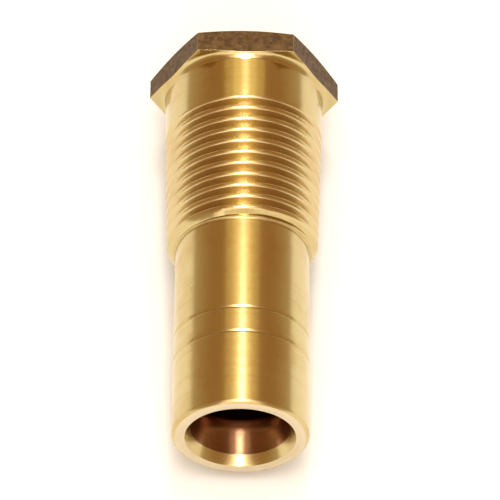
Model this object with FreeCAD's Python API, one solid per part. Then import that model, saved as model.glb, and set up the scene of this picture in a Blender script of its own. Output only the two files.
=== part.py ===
import FreeCAD, Part
import math
import os

# Threaded pipe nipple in brass, in millimetres. It lies on one flat of its hexagon, with its mouth
# towards -Y and its hexagon head towards +Y. The origin is on the surface that it lies on, below
# the middle of its length. Every piece is first made on a lathe axis along Z, where the distance
# is counted from the mouth, and is laid down at the end.

# Hexagon bar that the bushing is turned from
HEX_ACROSS_FLATS = 23.0
HEX_THICKNESS = 3.5
HEX_CHAMFER_ANGLE = 15.0
HEX_FACE_DIAMETER = 22.6

# Smooth neck between the hexagon and the thread, with a cove where it meets the hexagon
NECK_DIAMETER = 22.0
NECK_LENGTH = 6.2
NECK_COVE_RADIUS = 1.1

# Taper pipe thread, 1/2 inch, 14 turns to the inch, 1 in 16 on the diameter, crests flattened
THREAD_PITCH = 25.4 / 14.0
THREAD_SLOPE = 1.0 / 32.0
THREAD_SMALL_DIAMETER = 20.72
THREAD_LENGTH = 19.3
THREAD_DEPTH = 1.08
THREAD_ROOT_FLAT = 0.06
THREAD_HALF_ANGLE = 30.0
# The groove's line crosses the top of the part here, and runs on for part of a turn
LAST_GROOVE_AT_TOP = 47.6
GROOVE_TURNS_BEFORE_TOP = 11.75
GROOVE_TURNS_AFTER_TOP = 0.35
GROOVE_CLEARANCE = 0.3
SEAM_ANGLE = 145.0

# Smooth tube that leaves the nose of the bushing
TUBE_DIAMETER = 18.4
TUBE_LENGTH = 29.3
BORE_DIAMETER = 13.2
MOUTH_DIAMETER = 14.8
MOUTH_HALF_ANGLE = 30.0
TUBE_RIM_CHAMFER = 0.4

# Two fine depth rings turned into the tube
RING_DISTANCES = (11.1, 14.9)
RING_WIDTH = 0.5
RING_DEPTH = 0.18

# Reduced tail of the tube, and the socket that it sits in
TAIL_DIAMETER = 15.6
TAIL_LENGTH = 9.0

# Brazed joint in the corner between the nose and the tube
BRAZE_LEG = 0.3
BRAZE_HOLLOW = 0.4
NOSE_CHAMFER_ANGLE = 45.0

TUBE_RADIUS = TUBE_DIAMETER / 2.0
BORE_RADIUS = BORE_DIAMETER / 2.0
MOUTH_RADIUS = MOUTH_DIAMETER / 2.0
MOUTH_DEPTH = (MOUTH_RADIUS - BORE_RADIUS) / math.tan(math.radians(MOUTH_HALF_ANGLE))
TAIL_RADIUS = TAIL_DIAMETER / 2.0
TAIL_END = TUBE_LENGTH + TAIL_LENGTH
NECK_RADIUS = NECK_DIAMETER / 2.0
THREAD_SMALL_RADIUS = THREAD_SMALL_DIAMETER / 2.0
NOSE_FACE_RADIUS = TUBE_RADIUS + BRAZE_LEG
NOSE_LENGTH = (THREAD_SMALL_RADIUS - NOSE_FACE_RADIUS) / math.tan(math.radians(NOSE_CHAMFER_ANGLE))
THREAD_START = TUBE_LENGTH + NOSE_LENGTH
THREAD_END = THREAD_START + THREAD_LENGTH
THREAD_LARGE_RADIUS = THREAD_SMALL_RADIUS + THREAD_LENGTH * THREAD_SLOPE
HEX_START = THREAD_END + NECK_LENGTH
TOTAL_LENGTH = HEX_START + HEX_THICKNESS


def at(radius, distance):
    """A point of a section, in the plane through the lathe axis."""
    return FreeCAD.Vector(radius, 0.0, distance)


def turned(corners):
    """A solid of revolution about Z from the corners of its section, each one (radius, distance).

    A third item in a corner is a point that an arc from the corner before passes through."""
    edges = []
    for index, corner in enumerate(corners):
        before = corners[index - 1]
        if len(corner) == 3:
            edges.append(Part.Arc(at(*before[:2]), at(*corner[2]), at(*corner[:2])).toShape())
        else:
            edges.append(Part.LineSegment(at(*before[:2]), at(*corner)).toShape())
    return Part.Face(Part.Wire(edges)).revolve(FreeCAD.Vector(), FreeCAD.Vector(0, 0, 1), 360.0)


def hexagon_bar():
    """The bar that the bushing is turned from, with a flat on its top and on its underside."""
    corner_radius = HEX_ACROSS_FLATS / 2.0 / math.cos(math.radians(30.0))
    corners = []
    for index in range(6):
        angle = math.radians(60.0 * index)
        corners.append(FreeCAD.Vector(corner_radius * math.cos(angle), corner_radius * math.sin(angle), 0.0))
    bar = Part.Face(Part.makePolygon(corners + corners[:1])).extrude(FreeCAD.Vector(0, 0, TOTAL_LENGTH))
    return bar, corner_radius


def thread_groove():
    """The helical V groove, which starts in front of the nose and ends at the neck."""
    start = LAST_GROOVE_AT_TOP - GROOVE_TURNS_BEFORE_TOP * THREAD_PITCH
    height = (GROOVE_TURNS_BEFORE_TOP + GROOVE_TURNS_AFTER_TOP) * THREAD_PITCH
    crest = THREAD_SMALL_RADIUS - (THREAD_START - start) * THREAD_SLOPE
    helix = Part.makeHelix(THREAD_PITCH, height, crest, math.degrees(math.atan(THREAD_SLOPE)))
    root = crest - THREAD_DEPTH
    outside = crest + GROOVE_CLEARANCE
    half_root = THREAD_ROOT_FLAT / 2.0
    half_mouth = half_root + (outside - root) * math.tan(math.radians(THREAD_HALF_ANGLE))
    corners = [at(root, -half_root), at(outside, -half_mouth), at(outside, half_mouth), at(root, half_root)]
    section = Part.makePolygon(corners + corners[:1])
    sweep = Part.BRepOffsetAPI.MakePipeShell(Part.Wire(helix.Edges))
    sweep.setBiNormalMode(FreeCAD.Vector(0, 0, 1))
    sweep.add(section)
    sweep.build()
    sweep.makeSolid()
    groove = sweep.shape()
    groove.translate(FreeCAD.Vector(0, 0, start))
    return groove


def threaded_end():
    """Nose and taper thread, with the socket for the tube and the start of the bore."""
    blank = turned([
        (TAIL_RADIUS, TUBE_LENGTH),
        (NOSE_FACE_RADIUS, TUBE_LENGTH),
        (THREAD_SMALL_RADIUS, THREAD_START),
        (THREAD_LARGE_RADIUS, THREAD_END),
        (BORE_RADIUS, THREAD_END),
        (BORE_RADIUS, TAIL_END),
        (TAIL_RADIUS, TAIL_END),
    ])
    # The seam of the turned surface is kept clear of the plane in which the groove starts
    blank.rotate(FreeCAD.Vector(), FreeCAD.Vector(0, 0, 1), SEAM_ANGLE)
    return blank.cut(thread_groove())


def hexagon_end():
    """Neck and hexagon head, with the countersunk end of the bore."""
    bar, corner_radius = hexagon_bar()
    cove_side = NECK_COVE_RADIUS * (1.0 - math.sqrt(0.5))
    cove_middle = (NECK_RADIUS + cove_side, HEX_START - cove_side)
    face_radius = HEX_FACE_DIAMETER / 2.0
    chamfer_depth = (corner_radius - face_radius) * math.tan(math.radians(HEX_CHAMFER_ANGLE))
    blank = turned([
        (BORE_RADIUS, THREAD_END),
        (NECK_RADIUS, THREAD_END),
        (NECK_RADIUS, HEX_START - NECK_COVE_RADIUS),
        (NECK_RADIUS + NECK_COVE_RADIUS, HEX_START, cove_middle),
        (corner_radius, HEX_START),
        (corner_radius, TOTAL_LENGTH - chamfer_depth),
        (face_radius, TOTAL_LENGTH),
        (MOUTH_RADIUS, TOTAL_LENGTH),
        (BORE_RADIUS, TOTAL_LENGTH - MOUTH_DEPTH),
    ])
    return blank.common(bar)


def hex_bushing():
    """Head, neck, taper thread and nose in one piece."""
    return threaded_end().fuse(hexagon_end()).removeSplitter()


def spigot_tube():
    """The smooth tube, with its countersunk mouth, depth rings and reduced tail.

    Its shoulder is chamfered where it meets the nose, to hold the brazing metal."""
    corners = [
        (BORE_RADIUS, MOUTH_DEPTH),
        (MOUTH_RADIUS, 0.0),
        (TUBE_RADIUS - TUBE_RIM_CHAMFER, 0.0),
        (TUBE_RADIUS, TUBE_RIM_CHAMFER),
    ]
    for distance in RING_DISTANCES:
        corners.append((TUBE_RADIUS, distance - RING_WIDTH / 2.0))
        corners.append((TUBE_RADIUS - RING_DEPTH, distance))
        corners.append((TUBE_RADIUS, distance + RING_WIDTH / 2.0))
    corners += [
        (TUBE_RADIUS, TUBE_LENGTH - BRAZE_LEG),
        (TUBE_RADIUS - BRAZE_LEG, TUBE_LENGTH),
        (TAIL_RADIUS, TUBE_LENGTH),
        (TAIL_RADIUS, TAIL_END),
        (BORE_RADIUS, TAIL_END),
    ]
    return turned(corners)


def braze_ring():
    """The brazing metal between the nose face and the chamfered shoulder, hollow outside."""
    hollow = BRAZE_LEG * BRAZE_HOLLOW
    return turned([
        (TUBE_RADIUS - BRAZE_LEG, TUBE_LENGTH),
        (TUBE_RADIUS, TUBE_LENGTH - BRAZE_LEG),
        (TUBE_RADIUS + hollow, TUBE_LENGTH - hollow),
        (NOSE_FACE_RADIUS, TUBE_LENGTH),
    ])


def laid_down(shape):
    """Turns a piece from the lathe's Z axis to lie along Y, with the hexagon on the surface."""
    shape.rotate(FreeCAD.Vector(), FreeCAD.Vector(1, 0, 0), -90.0)
    shape.translate(FreeCAD.Vector(0, -TOTAL_LENGTH / 2.0, HEX_ACROSS_FLATS / 2.0))
    return shape


os.makedirs("parts", exist_ok=True)
for name, maker in (("hex_bushing", hex_bushing), ("spigot_tube", spigot_tube), ("braze_ring", braze_ring)):
    piece = laid_down(maker())
    box = piece.optimalBoundingBox(False)
    print(name, "solids", len(piece.Solids), "valid", piece.isValid(), "volume", round(piece.Volume, 1),
          "X", round(box.XMin, 2), round(box.XMax, 2), "Y", round(box.YMin, 2), round(box.YMax, 2),
          "Z", round(box.ZMin, 2), round(box.ZMax, 2))
    piece.exportStep("parts/" + name + ".step")
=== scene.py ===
# %% [markdown]
# # A brass pipe nipple
#
# The part is a plumber's nipple: a smooth brass tube brazed into a bushing that has a taper pipe
# thread and a hexagon head. A working model of it, made with exact sizes, is loaded first. Each of
# its pieces is then made again here as a fine mesh, in the same place, and given its finish.

# %% Load the frame
import math

import bmesh
import bpy
from mathutils import Matrix, Vector


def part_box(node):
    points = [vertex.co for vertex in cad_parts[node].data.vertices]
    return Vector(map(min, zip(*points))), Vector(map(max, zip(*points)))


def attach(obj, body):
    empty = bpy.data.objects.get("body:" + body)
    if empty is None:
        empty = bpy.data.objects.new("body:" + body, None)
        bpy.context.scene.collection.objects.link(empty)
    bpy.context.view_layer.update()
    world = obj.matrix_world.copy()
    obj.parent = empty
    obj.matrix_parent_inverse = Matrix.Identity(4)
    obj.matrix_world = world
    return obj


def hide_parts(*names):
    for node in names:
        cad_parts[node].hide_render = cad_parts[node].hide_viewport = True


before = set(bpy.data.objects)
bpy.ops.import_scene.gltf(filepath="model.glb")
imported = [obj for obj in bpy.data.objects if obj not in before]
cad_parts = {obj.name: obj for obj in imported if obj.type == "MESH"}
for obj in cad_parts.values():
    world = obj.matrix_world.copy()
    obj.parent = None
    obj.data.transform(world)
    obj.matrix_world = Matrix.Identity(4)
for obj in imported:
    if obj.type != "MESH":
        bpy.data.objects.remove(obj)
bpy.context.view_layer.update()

print("pieces in the frame:", sorted(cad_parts))

# %% [markdown]
# ## Sizes
#
# Blender works in metres here, and a lathe hand thinks in millimetres, so sizes are written in
# millimetres times MM. The large sizes are read from the frame, so that the pieces can't drift away
# from it. Every piece is made as on a lathe: round the Z axis, with its distance counted from the
# mouth of the tube, and laid down at the end.

# %% Sizes read from the frame
MM = 0.001
tube_low, tube_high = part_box("spigot_tube")
bushing_low, bushing_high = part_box("hex_bushing")
braze_low, braze_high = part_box("braze_ring")

AXIS_HEIGHT = (tube_low.z + tube_high.z) / 2.0
MOUTH_Y = tube_low.y
TUBE_RADIUS = (tube_high.x - tube_low.x) / 2.0
TUBE_LENGTH = bushing_low.y - MOUTH_Y
TAIL_END = tube_high.y - MOUTH_Y
BRAZE_START = braze_low.y - MOUTH_Y
NOSE_FACE_RADIUS = (braze_high.x - braze_low.x) / 2.0
FLAT_RADIUS = (bushing_high.z - bushing_low.z) / 2.0
TOTAL_LENGTH = bushing_high.y - MOUTH_Y
print("tube radius %.2f mm, whole length %.2f mm" % (TUBE_RADIUS / MM, TOTAL_LENGTH / MM))

# %% Sizes of the details
BORE_RADIUS = 6.6 * MM
MOUTH_RADIUS = 7.4 * MM
MOUTH_DEPTH = (MOUTH_RADIUS - BORE_RADIUS) / math.tan(math.radians(30.0))
TAIL_RADIUS = 7.8 * MM
RIM_CHAMFER = 0.4 * MM
RING_DISTANCES = (11.1 * MM, 14.9 * MM)
RING_WIDTH = 0.5 * MM
RING_DEPTH = 0.18 * MM
BRAZE_LEG = TUBE_LENGTH - BRAZE_START

HEX_THICKNESS = 3.5 * MM
HEX_FACE_RADIUS = 11.3 * MM
HEX_CHAMFER = math.radians(15.0)
NECK_RADIUS = 11.0 * MM
NECK_LENGTH = 6.2 * MM
COVE_RADIUS = 1.1 * MM

PITCH = 25.4 * MM / 14.0
THREAD_SLOPE = 1.0 / 32.0
THREAD_SMALL_RADIUS = 10.36 * MM
THREAD_DEPTH = 1.08 * MM
THREAD_ROOT_FLAT = 0.06 * MM
LAST_GROOVE_AT_TOP = 47.6 * MM

HEX_START = TOTAL_LENGTH - HEX_THICKNESS
THREAD_END = HEX_START - NECK_LENGTH
THREAD_START = TUBE_LENGTH + (THREAD_SMALL_RADIUS - NOSE_FACE_RADIUS)
THREAD_LARGE_RADIUS = THREAD_SMALL_RADIUS + (THREAD_END - THREAD_START) * THREAD_SLOPE
print("thread from %.2f to %.2f mm" % (THREAD_START / MM, THREAD_END / MM))

# %% [markdown]
# ## A lathe in code
#
# Everything here except the hexagon was made on a lathe, and Blender's spin operator is a lathe:
# it carries an outline round an axis and leaves a surface behind. A full turn must be merged, or
# the first and the last outline lie on each other as a hidden slit. The number of steps is a
# multiple of twelve, so that a ring has a point on each corner of the hexagon.

# %% The lathe
TURN_STEPS = 192
FULL_TURN = 2.0 * math.pi
LATHE_AXIS = (0.0, 0.0, 1.0)


def lathe(corners):
    """A closed ring-shaped solid from the (radius, distance) corners of its section."""
    bm = bmesh.new()
    points = [bm.verts.new((radius, 0.0, distance)) for radius, distance in corners]
    lines = [bm.edges.new((points[index - 1], point)) for index, point in enumerate(points)]
    bmesh.ops.spin(bm, geom=points + lines, cent=(0, 0, 0), axis=LATHE_AXIS, dvec=(0, 0, 0),
                   angle=FULL_TURN, steps=TURN_STEPS, use_merge=True)
    bmesh.ops.recalc_face_normals(bm, faces=bm.faces)
    return bm


def arc(centre, radius, start, end, steps):
    """Points of a round stretch of an outline, between two angles in degrees."""
    angles = [math.radians(start + (end - start) * step / steps) for step in range(steps + 1)]
    return [(centre[0] + radius * math.cos(a), centre[1] + radius * math.sin(a)) for a in angles]


print("one lathe step is %.3f degrees" % (360.0 / TURN_STEPS))


# %% [markdown]
# No machined edge is perfectly sharp. The tool or a file leaves a tiny flat on it, and that flat
# is what catches the light. So each piece has its edges bevelled. The bevel operator is given all
# its settings one by one, because its defaults in code differ from the editor's.

# %% Soft edges and finished pieces
EDGE_ANGLE = math.radians(18.0)
SMOOTH_ANGLE = math.radians(28.0)


def break_edges(bm, width, spared_radius=0.0, segments=2):
    """Bevels every edge where two faces meet at an angle, except those inside a radius."""
    sharp = [edge for edge in bm.edges if edge.calc_face_angle(0.0) > EDGE_ANGLE
             and edge.verts[0].co.xy.length > spared_radius]
    bmesh.ops.bevel(bm, geom=sharp, offset=width, offset_type="OFFSET", segments=segments,
                    profile=0.5, affect="EDGES", clamp_overlap=True, material=-1)


TIPPED = Matrix.Rotation(math.radians(-90.0), 4, "X")
LAID_DOWN = Matrix.Translation((0.0, MOUTH_Y, AXIS_HEIGHT)) @ TIPPED


def finished(bm, name):
    """Lays a piece down, makes it an object and shades its round faces smooth."""
    bm.transform(LAID_DOWN)
    bmesh.ops.recalc_face_normals(bm, faces=bm.faces)
    mesh = bpy.data.meshes.new(name)
    bm.to_mesh(mesh)
    bm.free()
    mesh.shade_smooth()
    mesh.set_sharp_from_angle(angle=SMOOTH_ANGLE)
    piece = bpy.data.objects.new(name, mesh)
    bpy.context.scene.collection.objects.link(piece)
    weighted = piece.modifiers.new("even_shading", "WEIGHTED_NORMAL")
    weighted.keep_sharp = True
    return piece


def open_edges(mesh):
    """Counts the edges that don't join exactly two faces: none, on a closed solid."""
    bm = bmesh.new()
    bm.from_mesh(mesh)
    count = sum(1 for edge in bm.edges if not edge.is_manifold)
    bm.free()
    return count


print("edges over %.0f degrees are bevelled" % math.degrees(EDGE_ANGLE))


# %% [markdown]
# ## The smooth tube
#
# The tube is the end that a hose or a push-fit socket goes over. It has a countersunk mouth, a
# broken outer rim, and two fine rings that show how far to push it in. Its reduced tail sits out of
# sight inside the bushing. The outline is drawn once round the wall of the tube, then spun.
#
# A drill leaves fine feed marks inside the mouth. A bump in the material would fade away when seen
# from further off, so they are real ridges here: they stretch each lamp into a streak along the
# bore. They get shallower further in, so that the streak has no hard end.

# %% Make the tube
TUBE_EDGE = 0.06 * MM
DRILL_PITCH = 0.16 * MM
DRILL_MARK_DEPTH = 0.045 * MM
DRILL_MARKS = 46
FADING_MARKS = 26


def drill_marks(start):
    """Corners of the fine ridges that the drill's feed left inside the mouth, deepest first."""
    corners = []
    for mark in range(DRILL_MARKS, 0, -1):
        depth = DRILL_MARK_DEPTH * min(1.0, (DRILL_MARKS - mark) / FADING_MARKS)
        corners.append((BORE_RADIUS, start + mark * DRILL_PITCH))
        corners.append((BORE_RADIUS + depth, start + (mark - 0.5) * DRILL_PITCH))
    return corners


def tube_outline():
    """Corners of the section of the tube's wall, from the bore round to the bore."""
    corners = [
        (BORE_RADIUS, MOUTH_DEPTH),
        (MOUTH_RADIUS, 0.0),
        (TUBE_RADIUS - RIM_CHAMFER, 0.0),
        (TUBE_RADIUS, RIM_CHAMFER),
    ]
    for distance in RING_DISTANCES:
        corners.append((TUBE_RADIUS, distance - RING_WIDTH / 2.0))
        corners.append((TUBE_RADIUS - RING_DEPTH, distance))
        corners.append((TUBE_RADIUS, distance + RING_WIDTH / 2.0))
    corners += [
        (TUBE_RADIUS, TUBE_LENGTH - BRAZE_LEG),
        (TUBE_RADIUS - BRAZE_LEG, TUBE_LENGTH),
        (TAIL_RADIUS, TUBE_LENGTH),
        (TAIL_RADIUS, TAIL_END),
        (BORE_RADIUS, TAIL_END),
    ]
    return corners + drill_marks(MOUTH_DEPTH)


tube_mesh = lathe(tube_outline())
break_edges(tube_mesh, TUBE_EDGE, BORE_RADIUS + 2.0 * DRILL_MARK_DEPTH)
tube = finished(tube_mesh, "smooth_tube")
print("tube:", len(tube.data.polygons), "faces,", open_edges(tube.data), "open edges")

# %% [markdown]
# ## The brazed joint
#
# The tube is brazed into the nose of the bushing. The shoulder of the tube is chamfered, and the
# brazing metal fills the V that this leaves, with a hollow surface that has drawn itself into the
# corner. So its section has two straight sides and one that curves in.

# %% Make the brazed joint
BRAZE_STEPS = 6
fillet_centre = (TUBE_RADIUS + BRAZE_LEG, TUBE_LENGTH - BRAZE_LEG)
braze_corners = arc(fillet_centre, BRAZE_LEG, 180.0, 90.0, BRAZE_STEPS)
braze_corners.append((TUBE_RADIUS - BRAZE_LEG, TUBE_LENGTH))
braze = finished(lathe(braze_corners), "brazed_joint")
print("brazed joint:", len(braze.data.polygons), "faces,", open_edges(braze.data), "open edges")

# %% [markdown]
# ## The bushing
#
# The bushing was turned from a hexagon bar. First comes its outline on the lathe, with a head a
# little wider than the corners of the bar. The hexagon is then sliced from it with six flat cuts,
# as the bar's own flats would be, and each cut is closed with one flat face. That gives the curved
# edges that a turned chamfer really leaves on a hexagon, with no curve worked out by hand.

# %% Turn the blank
COVE_STEPS = 8
HEAD_SPARE = 0.5 * MM
HALF_FLAT = math.radians(30.0)
FLAT_ANGLES = [math.radians(30.0 + 60.0 * side) for side in range(6)]
ON_PLANE = 1e-7
WELD_DISTANCE = 1e-6


def bushing_outline():
    """Corners of the section of the bushing, before the hexagon and the thread are cut."""
    head_radius = FLAT_RADIUS / math.cos(HALF_FLAT) + HEAD_SPARE
    chamfer_depth = (head_radius - HEX_FACE_RADIUS) * math.tan(HEX_CHAMFER)
    cove_centre = (NECK_RADIUS + COVE_RADIUS, HEX_START - COVE_RADIUS)
    corners = [
        (TAIL_RADIUS, TUBE_LENGTH),
        (NOSE_FACE_RADIUS, TUBE_LENGTH),
        (THREAD_SMALL_RADIUS, THREAD_START),
        (THREAD_LARGE_RADIUS, THREAD_END),
        (NECK_RADIUS, THREAD_END + (NECK_RADIUS - THREAD_LARGE_RADIUS) / THREAD_SLOPE),
    ]
    corners += arc(cove_centre, COVE_RADIUS, 180.0, 90.0, COVE_STEPS)
    corners += [
        (head_radius, HEX_START),
        (head_radius, TOTAL_LENGTH - chamfer_depth),
        (HEX_FACE_RADIUS, TOTAL_LENGTH),
        (MOUTH_RADIUS, TOTAL_LENGTH),
        (BORE_RADIUS, TOTAL_LENGTH - MOUTH_DEPTH),
        (BORE_RADIUS, TAIL_END),
        (TAIL_RADIUS, TAIL_END),
    ]
    return corners


def slice_flat(bm, angle):
    """Cuts away what stands outside one flat of the hexagon, and closes the cut."""
    outward = Vector((math.cos(angle), math.sin(angle), 0.0))
    everything = bm.verts[:] + bm.edges[:] + bm.faces[:]
    bmesh.ops.bisect_plane(bm, geom=everything, dist=ON_PLANE, plane_co=outward * FLAT_RADIUS,
                           plane_no=outward, clear_outer=True)
    rim = [edge for edge in bm.edges if edge.is_boundary]
    bmesh.ops.contextual_create(bm, geom=rim)


BUSHING_EDGE = 0.2 * MM
bushing_mesh = lathe(bushing_outline())
for flat_angle in FLAT_ANGLES:
    slice_flat(bushing_mesh, flat_angle)
bmesh.ops.dissolve_degenerate(bushing_mesh, dist=WELD_DISTANCE, edges=bushing_mesh.edges)
break_edges(bushing_mesh, BUSHING_EDGE)
print("blank:", len(bushing_mesh.faces), "faces")

# %% [markdown]
# ## The taper thread
#
# A thread is one long V groove that a die cuts round and round. The spin operator makes it too:
# with a small step along the axis at each turn of the outline, the lathe becomes a screw. The V is
# then moved outwards as it climbs, because a pipe thread is tapered so that it tightens and seals,
# and it is lifted out of the metal at the neck, as a die lifts off. Last, the groove is cut out of
# the blank with a Boolean, which is exact where the groove runs out over the nose.

# %% Make the cutter
GROOVE_TURNS = 12.35
GROOVE_STEPS_PER_TURN = 144
FLANK_ANGLE = math.radians(30.0)
# How far above the crest, and how far out from a straight flank, in millimetres.
CREST_ROUNDING = (
    (-0.30, 0.0), (-0.19, 0.045), (-0.10, 0.115), (-0.04, 0.2), (-0.005, 0.3), (0.3, 0.38))
LIFT_TURNS = 0.5
UP_ANGLE = math.radians(270.0)

turns_to_top = math.ceil((LAST_GROOVE_AT_TOP - TUBE_LENGTH) / PITCH) + UP_ANGLE / FULL_TURN
groove_start = LAST_GROOVE_AT_TOP - turns_to_top * PITCH


def groove_section():
    """Corners of the V tool: straight flanks, which flare out to round the crests."""
    root = THREAD_SMALL_RADIUS - THREAD_DEPTH
    half_root = THREAD_ROOT_FLAT / 2.0
    side = [(root, half_root)]
    straight = THREAD_DEPTH + CREST_ROUNDING[0][0] * MM
    half_mouth = half_root + straight * math.tan(FLANK_ANGLE)
    for rise, flare in CREST_ROUNDING:
        side.append((THREAD_SMALL_RADIUS + rise * MM, half_mouth + flare * MM))
    return side + [(radius, -distance) for radius, distance in reversed(side)]


def groove_cutter():
    """The solid that the V tool sweeps as it climbs round the bushing."""
    bm = bmesh.new()
    points = [bm.verts.new((radius, 0.0, groove_start + distance))
              for radius, distance in groove_section()]
    lines = [bm.edges.new((points[index - 1], point)) for index, point in enumerate(points)]
    steps = round(GROOVE_TURNS * GROOVE_STEPS_PER_TURN)
    climb = PITCH / GROOVE_STEPS_PER_TURN
    bmesh.ops.spin(bm, geom=points + lines, cent=(0, 0, 0), axis=LATHE_AXIS, dvec=(0, 0, climb),
                   angle=FULL_TURN * steps / GROOVE_STEPS_PER_TURN, steps=steps)
    bmesh.ops.holes_fill(bm, edges=[edge for edge in bm.edges if edge.is_boundary], sides=0)
    bmesh.ops.recalc_face_normals(bm, faces=bm.faces)
    for point in bm.verts:
        part_turn = (math.atan2(point.co.y, point.co.x) / FULL_TURN) % 1.0
        turns = part_turn + round((point.co.z - groove_start) / PITCH - part_turn)
        taper = (point.co.z - THREAD_START) * THREAD_SLOPE
        lift = max(0.0, turns - GROOVE_TURNS + LIFT_TURNS) / LIFT_TURNS * THREAD_DEPTH
        radius = point.co.xy.length
        grown = (radius + taper + lift) / radius
        point.co.x *= grown
        point.co.y *= grown
    return bm


cutter_mesh = groove_cutter()
print("cutter:", len(cutter_mesh.faces), "faces, groove starts at %.2f mm" % (groove_start / MM))

# %% [markdown]
# The Boolean works on objects, so the blank and the cutter are made into two for a moment. The
# exact solver is slower than the fast one, but it keeps a closed solid closed.

# %% Cut the thread


def as_object(bm, name):
    """A plain object for a Boolean to work on."""
    mesh = bpy.data.meshes.new(name)
    bm.to_mesh(mesh)
    bm.free()
    made = bpy.data.objects.new(name, mesh)
    bpy.context.scene.collection.objects.link(made)
    return made


def cut_away(blank, cutter):
    """The mesh of a blank with a cutter's space taken out of it. Both objects are removed."""
    boolean = blank.modifiers.new("cut", "BOOLEAN")
    boolean.operation = "DIFFERENCE"
    boolean.solver = "EXACT"
    boolean.object = cutter
    bpy.context.view_layer.update()
    result = bmesh.new()
    result.from_object(blank, bpy.context.evaluated_depsgraph_get())
    bpy.data.objects.remove(blank)
    bpy.data.objects.remove(cutter)
    return result


threaded = cut_away(as_object(bushing_mesh, "blank"), as_object(cutter_mesh, "cutter"))
bmesh.ops.remove_doubles(threaded, verts=threaded.verts, dist=WELD_DISTANCE)
bushing = finished(threaded, "threaded_bushing")
print("bushing:", len(bushing.data.polygons), "faces,", open_edges(bushing.data), "open edges")

for piece, node in ((tube, "spigot_tube"), (braze, "braze_ring"), (bushing, "hex_bushing")):
    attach(piece, "root")
    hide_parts(node)

# %% [markdown]
# ## Brass, drawn and turned
#
# Bright brass is a metal with a warm colour and low roughness, and nearly all of its look comes
# from small things. A lathe tool leaves fine lines round the piece, which smear each highlight
# along it. Handling leaves cloudy patches of brown tarnish. The two effects are used by several
# materials, so each is a node group that is built once, with its own inputs.

# %% A short way to build nodes


def add_node(tree, kind, inputs=None, **settings):
    """Adds a node, sets its properties, and sets or links its inputs."""
    node = tree.nodes.new(kind)
    for name, value in settings.items():
        setattr(node, name, value)
    for socket, value in (inputs or {}).items():
        if isinstance(value, bpy.types.NodeSocket):
            tree.links.new(value, node.inputs[socket])
        else:
            node.inputs[socket].default_value = value
    return node


def math_node(tree, operation, *values, clamp=False):
    """The result of a Math node on up to three values or sockets."""
    node = add_node(tree, "ShaderNodeMath", dict(enumerate(values)), operation=operation,
                    use_clamp=clamp)
    return node.outputs[0]


# The Mix node keeps a set of sockets for each data type; these are the ones for colours.
MIX_FACTOR, MIX_FIRST, MIX_SECOND, MIX_RESULT = 0, 6, 7, 2


def mix_colours(tree, factor, first, second):
    """A blend of two colours."""
    inputs = {MIX_FACTOR: factor, MIX_FIRST: first, MIX_SECOND: second}
    return add_node(tree, "ShaderNodeMix", inputs, data_type="RGBA").outputs[MIX_RESULT]


def new_group(name, inputs, outputs):
    """An empty node group with named number inputs and outputs."""
    group = bpy.data.node_groups.new(name, "ShaderNodeTree")
    for label, value in inputs.items():
        socket = group.interface.new_socket(label, in_out="INPUT", socket_type="NodeSocketFloat")
        socket.default_value = value
    for label in outputs:
        group.interface.new_socket(label, in_out="OUTPUT", socket_type="NodeSocketFloat")
    return group, group.nodes.new("NodeGroupInput"), group.nodes.new("NodeGroupOutput")


def use_group(tree, group, values):
    """Places a group in a material with its own values."""
    return add_node(tree, "ShaderNodeGroup", values, node_tree=group)


print("node helpers ready")


# %% [markdown]
# The turning marks depend only on the distance along the part and on the distance from its axis.
# So a noise that is read with those two as its coordinates makes rings on a cylinder, and circles
# on a flat end. A little of the position across is mixed in, so that no ring is perfect.

# %% Turning marks


RING_WANDER = 0.004


def make_turning_marks():
    """A height and a streak value that run round the part's axis."""
    group, given, result = new_group(
        "turning_marks", {"Lines per metre": 6000.0, "Streaks per metre": 900.0},
        ("Height", "Streaks"))
    place = add_node(group, "ShaderNodeTexCoord").outputs["Object"]
    axes = add_node(group, "ShaderNodeSeparateXYZ", {0: place})
    height = math_node(group, "SUBTRACT", axes.outputs["Z"], AXIS_HEIGHT)
    across = math_node(group, "MULTIPLY", axes.outputs["X"], axes.outputs["X"])
    radius = math_node(group, "SQRT", math_node(group, "MULTIPLY_ADD", height, height, across))
    across_and_up = math_node(group, "ADD", axes.outputs["X"], height)
    wander = math_node(group, "MULTIPLY", across_and_up, RING_WANDER)
    along = math_node(group, "ADD", axes.outputs["Y"], wander)
    ring = add_node(group, "ShaderNodeCombineXYZ", {0: along, 1: radius})
    lines = add_node(group, "ShaderNodeTexNoise", {"Vector": ring.outputs[0],
                     "Scale": given.outputs["Lines per metre"], "Detail": 2.0,
                     "Roughness": 0.6}, noise_dimensions="2D")
    streaks = add_node(group, "ShaderNodeTexNoise", {"Vector": ring.outputs[0],
                       "Scale": given.outputs["Streaks per metre"], "Detail": 1.0,
                       "Roughness": 0.5}, noise_dimensions="2D")
    group.links.new(lines.outputs[0], result.inputs["Height"])
    group.links.new(streaks.outputs[0], result.inputs["Streaks"])
    return group


turning_marks = make_turning_marks()
print("node group:", turning_marks.name)

# %% [markdown]
# Tarnish grows in soft patches, and is made of fine specks. One noise gives the patches: what is
# above the start value is tarnished. A second noise, nine times finer, gives the specks.

# %% Tarnish
SPECK_FINENESS = 9.0


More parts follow.
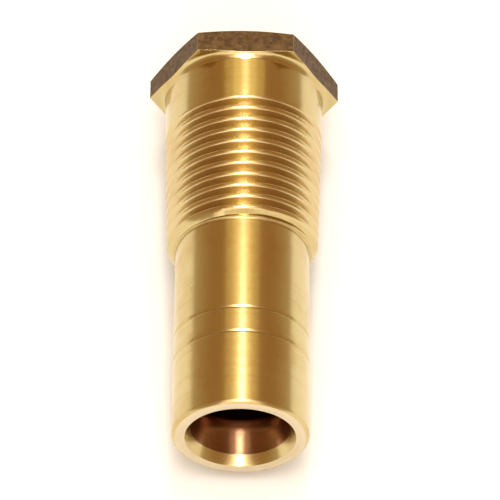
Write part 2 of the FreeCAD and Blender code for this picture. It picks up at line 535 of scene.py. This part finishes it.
def make_tarnish():
    """A mask of cloudy patches, with fine specks in them."""
    group, given, result = new_group(
        "tarnish", {"Patches per metre": 120.0, "Start": 0.45, "Softness": 0.25},
        ("Mask", "Specks"))
    place = add_node(group, "ShaderNodeTexCoord").outputs["Object"]
    patches = add_node(group, "ShaderNodeTexNoise", {"Vector": place, "Scale": given.outputs[0],
                       "Detail": 5.0, "Roughness": 0.65, "Distortion": 0.2})
    above = math_node(group, "SUBTRACT", patches.outputs[0], given.outputs[1])
    mask = math_node(group, "DIVIDE", above, given.outputs[2], clamp=True)
    fine = math_node(group, "MULTIPLY", given.outputs[0], SPECK_FINENESS)
    specks = add_node(group, "ShaderNodeTexNoise", {"Vector": place, "Scale": fine,
                      "Detail": 3.0, "Roughness": 0.7})
    group.links.new(mask, result.inputs["Mask"])
    group.links.new(specks.outputs[0], result.inputs["Specks"])
    return group


tarnish = make_tarnish()
print("node group:", tarnish.name)

# %% [markdown]
# ## The materials
#
# Turned brass is used on the outside of the bushing, and a slightly duller brass on the tube. The
# grooves of the thread are paler and less polished, and the end face of the tube, which was faced
# straight across, is paler too. The flats of the hexagon were never cut: they still have the brown
# skin of the drawn bar, so they are dull and rough. The bore's brass is painted dark: painted shade
# for the deep inside of the tube, with tarnish patches on top. They are all one recipe with
# different values, so one function makes them.

# %% The recipe for brass
SPECK_SHARE = 0.7
STREAK_SHARE = 0.5
BRIGHT_BRASS = (0.585, 0.485, 0.24, 1.0)
WARM_BRASS = (0.49, 0.30, 0.09, 1.0)


def brass_material(name, bright, tarnished, roughness, tarnish_values, marks, mark_depth,
                   metallic=1.0):
    """A brass with tarnish patches and turning marks. roughness is (bright, tarnished)."""
    material = bpy.data.materials.new(name)
    material.use_nodes = True
    tree = material.node_tree
    shader = tree.nodes["Principled BSDF"]
    shader.inputs["Metallic"].default_value = metallic
    patches = use_group(tree, tarnish, tarnish_values)
    rings = use_group(tree, turning_marks, marks)
    speckled = math_node(tree, "MULTIPLY_ADD", patches.outputs["Specks"], SPECK_SHARE,
                         1.0 - SPECK_SHARE)
    amount = math_node(tree, "MULTIPLY", patches.outputs["Mask"], speckled, clamp=True)
    streaked = math_node(tree, "MULTIPLY_ADD", rings.outputs["Streaks"], STREAK_SHARE,
                         -STREAK_SHARE / 2.0)
    amount = math_node(tree, "ADD", amount, streaked, clamp=True)
    tree.links.new(mix_colours(tree, amount, bright, tarnished), shader.inputs["Base Color"])
    rough = add_node(tree, "ShaderNodeMapRange", {"Value": amount, "To Min": roughness[0],
                     "To Max": roughness[1]})
    tree.links.new(rough.outputs[0], shader.inputs["Roughness"])
    bump = add_node(tree, "ShaderNodeBump", {"Strength": 1.0, "Distance": mark_depth,
                    "Height": rings.outputs["Height"]})
    tree.links.new(bump.outputs[0], shader.inputs["Normal"])
    return material


print("bright brass is", BRIGHT_BRASS[:3])

# %% Make the materials
turned_brass = brass_material(
    "turned_brass", BRIGHT_BRASS, WARM_BRASS, (0.16, 0.3),
    {"Patches per metre": 140.0, "Start": 0.5, "Softness": 0.3},
    {"Lines per metre": 7000.0, "Streaks per metre": 1200.0}, 0.006 * MM)
thread_brass = brass_material(
    "threaded_brass", (0.64, 0.52, 0.29, 1.0), (0.54, 0.37, 0.16, 1.0), (0.22, 0.32),
    {"Patches per metre": 220.0, "Start": 0.45, "Softness": 0.3},
    {"Lines per metre": 6000.0, "Streaks per metre": 1500.0}, 0.006 * MM)
tube_brass = brass_material(
    "drawn_tube_brass", BRIGHT_BRASS, WARM_BRASS, (0.2, 0.34),
    {"Patches per metre": 170.0, "Start": 0.47, "Softness": 0.3},
    {"Lines per metre": 9000.0, "Streaks per metre": 1500.0}, 0.004 * MM)
faced_brass = brass_material(
    "faced_brass", (0.68, 0.58, 0.40, 1.0), (0.62, 0.46, 0.26, 1.0), (0.3, 0.42),
    {"Patches per metre": 260.0, "Start": 0.45, "Softness": 0.3},
    {"Lines per metre": 8000.0, "Streaks per metre": 2200.0}, 0.006 * MM)
# The bore's dark base colours are painted shade for the deep inside of the tube.
bore_brass_painted_shade = brass_material(
    "bored_brass_painted_shade", (0.38, 0.2, 0.105, 1.0), (0.15, 0.06, 0.03, 1.0), (0.18, 0.28),
    {"Patches per metre": 160.0, "Start": 0.4, "Softness": 0.4},
    {"Lines per metre": 5000.0, "Streaks per metre": 1500.0}, 0.004 * MM)
bar_skin = brass_material(
    "drawn_bar_skin", (0.165, 0.095, 0.038, 1.0), (0.045, 0.024, 0.011, 1.0), (0.46, 0.62),
    {"Patches per metre": 1500.0, "Start": 0.36, "Softness": 0.25},
    {"Lines per metre": 2500.0, "Streaks per metre": 700.0}, 0.012 * MM, metallic=0.7)
braze_metal = brass_material(
    "brazing_metal", (0.60, 0.48, 0.24, 1.0), (0.42, 0.29, 0.12, 1.0), (0.3, 0.45),
    {"Patches per metre": 500.0, "Start": 0.45, "Softness": 0.3},
    {"Lines per metre": 2500.0, "Streaks per metre": 900.0}, 0.004 * MM)

print("materials:", sorted(item.name for item in bpy.data.materials))

# %% [markdown]
# Each face gets its material from the zone that it lies in: on a flat of the hexagon, in the bore,
# on the end face, in a groove of the thread, or on the outside. The test is done on the face
# itself, so the edge of each material is an edge of the part too.

# %% Give each face its material
BORE_LIMIT = 6.7 * MM
FLAT_MARGIN = 0.02 * MM
FACE_MARGIN = 0.05 * MM
GROOVE_MARGIN = 0.02 * MM
SQUARE_ON = 0.99


def lies_on_flat(face):
    """True for a face on one of the six flats of the hexagon."""
    if face.center.y < MOUTH_Y + THREAD_END:
        return False
    for angle in FLAT_ANGLES:
        outward = Vector((math.cos(angle), 0.0, math.sin(angle)))
        distance = outward.dot(face.center - Vector((0.0, 0.0, AXIS_HEIGHT)))
        if distance > FLAT_RADIUS - FLAT_MARGIN and outward.dot(face.normal) > SQUARE_ON:
            return True
    return False


def zone_of(face):
    """The zone of the part's surface that a face belongs to."""
    distance = face.center.y - MOUTH_Y
    radius = math.hypot(face.center.x, face.center.z - AXIS_HEIGHT)
    if radius < BORE_LIMIT:
        return "bore"
    if lies_on_flat(face):
        return "flat"
    if distance < FACE_MARGIN and face.normal.y < -SQUARE_ON:
        return "end face"
    crest_radius = THREAD_SMALL_RADIUS + (distance - THREAD_START) * THREAD_SLOPE
    if THREAD_START < distance < THREAD_END and radius < crest_radius - GROOVE_MARGIN:
        return "thread"
    return "outside"


def give_materials(piece, finishes):
    """Gives every face of a piece the material of its zone, and "outside" where none is given."""
    zones = list(finishes)
    for material in finishes.values():
        piece.data.materials.append(material)
    counts = dict.fromkeys(zones, 0)
    for face in piece.data.polygons:
        zone = zone_of(face)
        zone = zone if zone in finishes else "outside"
        face.material_index = zones.index(zone)
        counts[zone] += 1
    print(piece.name, "faces by zone:", counts)


give_materials(tube, {"outside": tube_brass, "bore": bore_brass_painted_shade, "end face": faced_brass})
give_materials(bushing, {"outside": turned_brass, "thread": thread_brass, "bore": bore_brass_painted_shade,
                         "flat": bar_skin})
give_materials(braze, {"outside": braze_metal})

# %% [markdown]
# ## The floor
#
# Polished metal shows what stands round it, so the studio matters as much as the material. The
# lower half of each cylinder mirrors the floor, and a pale floor gives it pale sides.

# %% Lay the floor
FLOOR_SIZE = 3.0
floor_mesh = bmesh.new()
bmesh.ops.create_grid(floor_mesh, x_segments=1, y_segments=1, size=FLOOR_SIZE)
floor = as_object(floor_mesh, "floor")
paper = bpy.data.materials.new("pale_paper")
paper.use_nodes = True
paper_shader = paper.node_tree.nodes["Principled BSDF"]
paper_shader.inputs["Base Color"].default_value = (0.88, 0.88, 0.87, 1.0)
paper_shader.inputs["Roughness"].default_value = 0.9
paper_shader.inputs["Specular IOR Level"].default_value = 0.1
floor.data.materials.append(paper)
print("floor laid")

# %% [markdown]
# ## The lights
#
# Each lamp is there for the surfaces that mirror it. Soft panels above and in front light the
# edges that lean towards them, with a brighter lamp overhead for the crests of the thread and a
# narrow strip for the countersink and the bore. A warm ceiling behind gives the golden band along
# the top of the tube, with a narrow lamp in it for the thin white streak. A small strong lamp a
# little higher is what the grooves of the thread mirror, after two reflections.

# %% Hang the lights
AIM = Vector((0.0, 0.0, AXIS_HEIGHT))


def hang_panel(name, elevation, azimuth, distance, width, length, radiance, colour):
    """A panel that faces the part. Azimuth 0 is behind the part, 180 is in front of it."""
    up, turn = math.radians(elevation), math.radians(azimuth)
    direction = Vector((math.sin(turn) * math.cos(up), math.cos(turn) * math.cos(up), math.sin(up)))
    lamp = bpy.data.lights.new(name, "AREA")
    lamp.shape = "RECTANGLE"
    lamp.size = width
    lamp.size_y = length
    lamp.energy = radiance * math.pi * width * length
    lamp.color = colour
    panel = bpy.data.objects.new(name, lamp)
    panel.location = AIM + direction * distance
    panel.rotation_euler = direction.to_track_quat("Z", "Y").to_euler()
    bpy.context.scene.collection.objects.link(panel)
    return panel


# Name, elevation and azimuth in degrees, distance, width and length in metres, radiance, colour.
PANELS = (
    ("overhead_panel", 70.0, 180.0, 1.0, 0.75, 1.3, 0.8, (1.0, 0.95, 0.86)),
    ("front_panel", 22.0, 180.0, 1.1, 0.9, 0.8, 1.2, (1.0, 0.96, 0.9)),
    ("overhead_lamp", 84.0, 180.0, 0.98, 0.4, 0.6, 3.0, (1.0, 0.97, 0.9)),
    ("front_strip", 60.0, 180.0, 0.95, 0.2, 0.8, 8.0, (1.0, 0.98, 0.95)),
    ("warm_ceiling", 56.0, 0.0, 1.0, 0.85, 0.5, 0.45, (0.9, 0.78, 0.34)),
    ("ceiling_lamp", 56.0, 0.5, 0.95, 0.45, 0.45, 0.45, (0.95, 0.8, 0.38)),
    ("streak_lamp", 54.0, 1.5, 0.9, 0.1, 0.35, 0.9, (1.0, 0.95, 0.85)),
    ("thread_lamp", 68.0, 1.5, 0.9, 0.1, 0.14, 24.0, (1.0, 0.96, 0.88)),
)
for panel_values in PANELS:
    hang_panel(*panel_values)
print("panels:", len(PANELS))

# %% [markdown]
# A wide fill light reaches the floor only. It is hidden from mirror reflections, or it would wash
# out the dark stripes of the metal. It is bluish, because the room colours the floor brown.

# %% Light the floor
FILL_STRENGTH = 0.9
FILL_COLOUR = (0.5, 0.78, 1.0)
FILL_SPREAD = math.radians(90.0)

fill = bpy.data.objects.new("fill", bpy.data.lights.new("fill", "SUN"))
fill.data.energy = FILL_STRENGTH
fill.data.color = FILL_COLOUR
fill.data.angle = FILL_SPREAD
fill.visible_glossy = False
bpy.context.scene.collection.objects.link(fill)

print("lights:", sorted(item.name for item in bpy.data.lights))

# %% [markdown]
# The rest of the room is dim and brown, and darker high up. That is what gives turned metal its
# dark stripes: where no lamp is mirrored, the room is.

# %% Colour the room
ROOM_LOW = (0.66, 0.49, 0.27, 1.0)
ROOM_HIGH = (0.46, 0.24, 0.09, 1.0)
HIGH_RISE = 0.5
room = bpy.data.worlds.new("room")
room.use_nodes = True
room_tree = room.node_tree
sight = add_node(room_tree, "ShaderNodeTexCoord").outputs["Generated"]
rise = add_node(room_tree, "ShaderNodeSeparateXYZ", {0: sight}).outputs["Z"]
blend = add_node(room_tree, "ShaderNodeMapRange", {"Value": rise, "From Min": 0.0,
                 "From Max": HIGH_RISE})
room_colour = mix_colours(room_tree, blend.outputs[0], ROOM_LOW, ROOM_HIGH)
room_tree.links.new(room_colour, room_tree.nodes["Background"].inputs["Color"])
bpy.context.scene.world = room
bpy.context.scene.view_settings.view_transform = "Standard"
print("room colours:", ROOM_LOW[:3], "to", ROOM_HIGH[:3])

# %% [markdown]
# ## The camera
#
# The part is seen from in front of its mouth and from well above, through a long lens, so that it
# hardly narrows into the distance. The camera is turned about its own line of sight by a little.

# %% Set the camera
CAMERA_ELEVATION = math.radians(55.94)
CAMERA_TURN = math.radians(1.37)
CAMERA_ROLL = math.radians(2.19)
CAMERA_DISTANCE = 479.6 * MM
CAMERA_TARGET = Vector((1.05 * MM, MOUTH_Y + 30.09 * MM, AXIS_HEIGHT))
SENSOR_WIDTH = 36.0
LENS = 251.6
NEAR_LIMIT = 0.01


def camera_matrix():
    """Where the camera stands and how it is turned."""
    level, turn = math.cos(CAMERA_ELEVATION), CAMERA_TURN
    forward = Vector((math.sin(turn) * level, math.cos(turn) * level, -math.sin(CAMERA_ELEVATION)))
    level_right = Vector((math.cos(turn), -math.sin(turn), 0.0))
    level_up = level_right.cross(forward)
    right = level_right * math.cos(CAMERA_ROLL) + level_up * math.sin(CAMERA_ROLL)
    matrix = Matrix((right, right.cross(forward), -forward)).transposed().to_4x4()
    matrix.translation = CAMERA_TARGET - forward * CAMERA_DISTANCE
    return matrix


camera = bpy.data.objects.new("camera", bpy.data.cameras.new("camera"))
camera.data.sensor_width = SENSOR_WIDTH
camera.data.lens = LENS
camera.data.clip_start = NEAR_LIMIT
camera.matrix_world = camera_matrix()
bpy.context.scene.collection.objects.link(camera)
bpy.context.scene.camera = camera
print("camera stands %.0f mm from the part" % (CAMERA_DISTANCE / MM))
